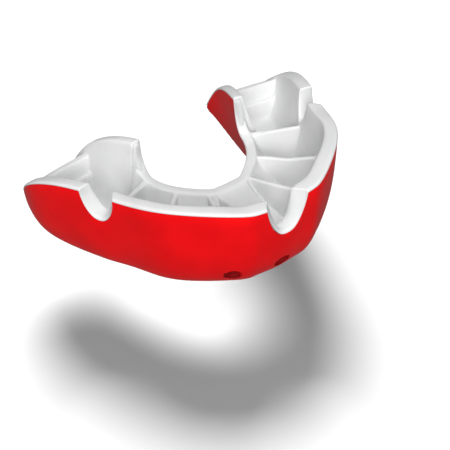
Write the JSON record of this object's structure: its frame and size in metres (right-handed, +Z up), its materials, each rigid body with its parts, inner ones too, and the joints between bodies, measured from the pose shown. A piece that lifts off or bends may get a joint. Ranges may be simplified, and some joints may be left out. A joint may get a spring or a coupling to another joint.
{
  "type": "boxing mouthguard",
  "caption": "U-shaped upper mouthguard: a firm outer shell with a soft finned liner that takes the teeth, notched at the front and over the cheeks.",
  "frame": {"origin": "centre of the bounding box in plan, on the plane of the flat underside (bite side)", "axes": "+X across the mouth, -Y to the front teeth, +Z up towards the gums; the legs are alike about x = 0"},
  "size_m": [0.065, 0.0525, 0.0222],
  "materials": {
    "outer_shell": "satin moulded, saturated red",
    "fitting_liner": "soft satin gel, white"
  },
  "bodies": {
    "root": {"outer_shell": "outer_shell", "fitting_liner": "fitting_liner"}
  },
  "joints": []
}
